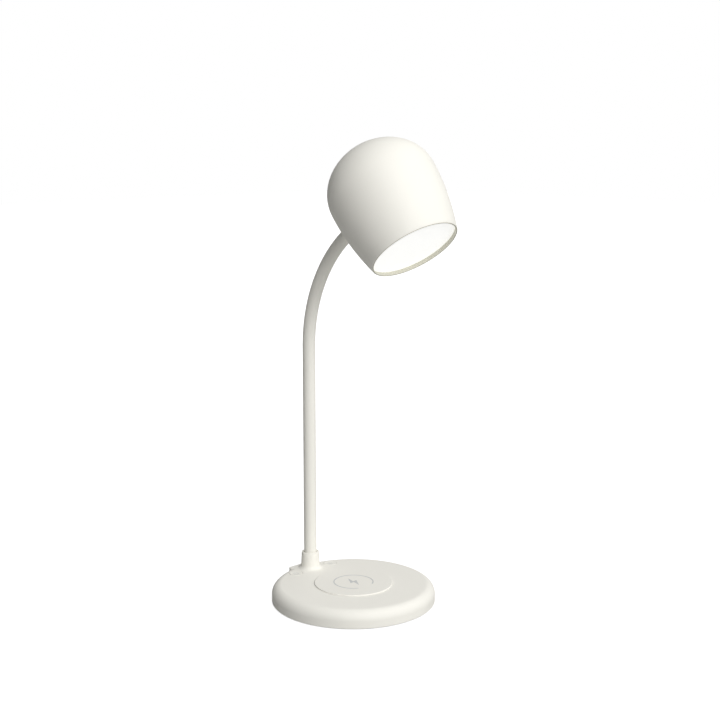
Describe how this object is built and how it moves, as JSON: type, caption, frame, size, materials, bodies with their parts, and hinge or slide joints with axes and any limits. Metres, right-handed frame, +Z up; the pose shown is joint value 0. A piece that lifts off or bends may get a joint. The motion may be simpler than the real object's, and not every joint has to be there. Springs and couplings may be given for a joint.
{
  "type": "desk lamp",
  "caption": "Desk lamp with a bendable gooseneck, a domed shade that faces down, and a round weighted base with a raised phone charging pad and press keys.",
  "frame": {"origin": "centre of the anti-slip pad under the base, on the table", "axes": "+Z up out of the charging pad, the front of the lamp and its shade towards -Y, the neck at the back at +Y, +X to the right for someone who looks along +Y"},
  "size_m": [0.15, 0.1821, 0.4217],
  "materials": {
    "ivory_abs": "fine matte moulded",
    "key_abs": "fine matte moulded",
    "neck_silicone": "matte sleeve",
    "opal_diffuser": "opal, lit from behind",
    "white_reflector": "matte white",
    "black_plastic": "matte",
    "silicone_pad": "matte",
    "ballast_steel": "as stamped",
    "zinc_steel": "zinc plated",
    "copper_wire": "enamelled wire",
    "ferrite": "matte",
    "board_green": "solder mask",
    "board_white": "white solder mask on aluminium",
    "led_package": "phosphor gel",
    "aluminium_plate": "rolled sheet",
    "wire_pvc": "extruded"
  },
  "bodies": {
    "base": {"base_cover": "ivory_abs", "base_plate": "black_plastic", "anti_slip_pad": "silicone_pad", "ballast": "ballast_steel", "base_screws": "zinc_steel", "charging_pad": "ivory_abs", "charging_coil": "copper_wire", "ferrite_sheet": "ferrite", "coil_carrier": "black_plastic", "inner_screws": "zinc_steel", "main_board": "board_green", "key_switches": "black_plastic", "power_inlet": "zinc_steel", "neck_ferrule": "zinc_steel", "neck_nut": "zinc_steel", "neck_foot": "neck_silicone"},
    "power_key": {"power_key": "key_abs"},
    "dimmer_key": {"dimmer_key": "key_abs"},
    "neck_link_1": {"neck_link_1": "neck_silicone"},
    "neck_link_2": {"neck_link_2": "neck_silicone"},
    "neck_link_3": {"neck_link_3": "neck_silicone"},
    "neck_link_4": {"neck_link_4": "neck_silicone"},
    "neck_link_5": {"neck_link_5": "neck_silicone"},
    "neck_link_6": {"neck_link_6": "neck_silicone"},
    "neck_link_7": {"neck_link_7": "neck_silicone"},
    "neck_link_8": {"neck_link_8": "neck_silicone"},
    "neck_link_9": {"neck_link_9": "neck_silicone"},
    "neck_link_10": {"neck_link_10": "neck_silicone"},
    "neck_link_11": {"neck_link_11": "neck_silicone"},
    "head": {"neck_tip": "neck_silicone", "head_ferrule": "zinc_steel", "head_washer": "zinc_steel", "head_nut": "zinc_steel", "shade": "ivory_abs", "diffuser": "opal_diffuser", "reflector": "white_reflector", "led_board": "board_white", "leds": "led_package", "heat_plate": "aluminium_plate", "head_screws": "zinc_steel", "head_wire": "wire_pvc"}
  },
  "joints": [
    {"name": "neck_bend", "type": "hinge", "parent": "base", "child": "neck_link_1", "pos_m": [0, 0.0598, 0.05], "axis": [1, 0, 0], "range_deg": [-9, 10]},
    {"name": "neck_sway", "type": "hinge", "parent": "neck_link_1", "child": "neck_link_2", "pos_m": [0, 0.0598, 0.07571], "axis": [0, 1, 0], "range_deg": [-8, 8]},
    {"name": "neck_bend_2", "type": "hinge", "parent": "neck_link_2", "child": "neck_link_3", "pos_m": [0, 0.0598, 0.10143], "axis": [1, 0, 0], "range_deg": [-9, 10]},
    {"name": "neck_sway_2", "type": "hinge", "parent": "neck_link_3", "child": "neck_link_4", "pos_m": [0, 0.0598, 0.12714], "axis": [0, 1, 0], "range_deg": [-8, 8]},
    {"name": "neck_bend_3", "type": "hinge", "parent": "neck_link_4", "child": "neck_link_5", "pos_m": [0, 0.0598, 0.15286], "axis": [1, 0, 0], "range_deg": [-9, 10]},
    {"name": "neck_sway_3", "type": "hinge", "parent": "neck_link_5", "child": "neck_link_6", "pos_m": [0, 0.0598, 0.17857], "axis": [0, 1, 0], "range_deg": [-8, 8]},
    {"name": "neck_bend_4", "type": "hinge", "parent": "neck_link_6", "child": "neck_link_7", "pos_m": [0, 0.0598, 0.20429], "axis": [1, 0, 0], "range_deg": [-9, 10]},
    {"name": "neck_sway_4", "type": "hinge", "parent": "neck_link_7", "child": "neck_link_8", "pos_m": [0, 0.0598, 0.23], "axis": [0, 1, 0], "range_deg": [-8, 8]},
    {"name": "neck_bend_5", "type": "hinge", "parent": "neck_link_8", "child": "neck_link_9", "pos_m": [0, 0.05642, 0.25981], "axis": [1, 0, 0], "range_deg": [-9, 10]},
    {"name": "neck_sway_5", "type": "hinge", "parent": "neck_link_9", "child": "neck_link_10", "pos_m": [0, 0.04644, 0.28809], "axis": [0, 0.8996, 0.4368], "range_deg": [-8, 8]},
    {"name": "neck_bend_6", "type": "hinge", "parent": "neck_link_10", "child": "neck_link_11", "pos_m": [0, 0.03038, 0.31343], "axis": [1, 0, 0], "range_deg": [-9, 10]},
    {"name": "neck_sway_6", "type": "hinge", "parent": "neck_link_11", "child": "head", "pos_m": [0, 0.00905, 0.33452], "axis": [0, 0.6184, 0.7859], "range_deg": [-8, 8]},
    {"name": "power_key_press", "type": "slide", "parent": "base", "child": "power_key", "axis": [0, 0, -1], "range_m": [0, 0.0005], "stiffness_N_per_m": 1000, "springref_m": -0.0006},
    {"name": "dimmer_key_press", "type": "slide", "parent": "base", "child": "dimmer_key", "axis": [0, 0, -1], "range_m": [0, 0.0005], "stiffness_N_per_m": 1000, "springref_m": -0.0006}
  ]
}
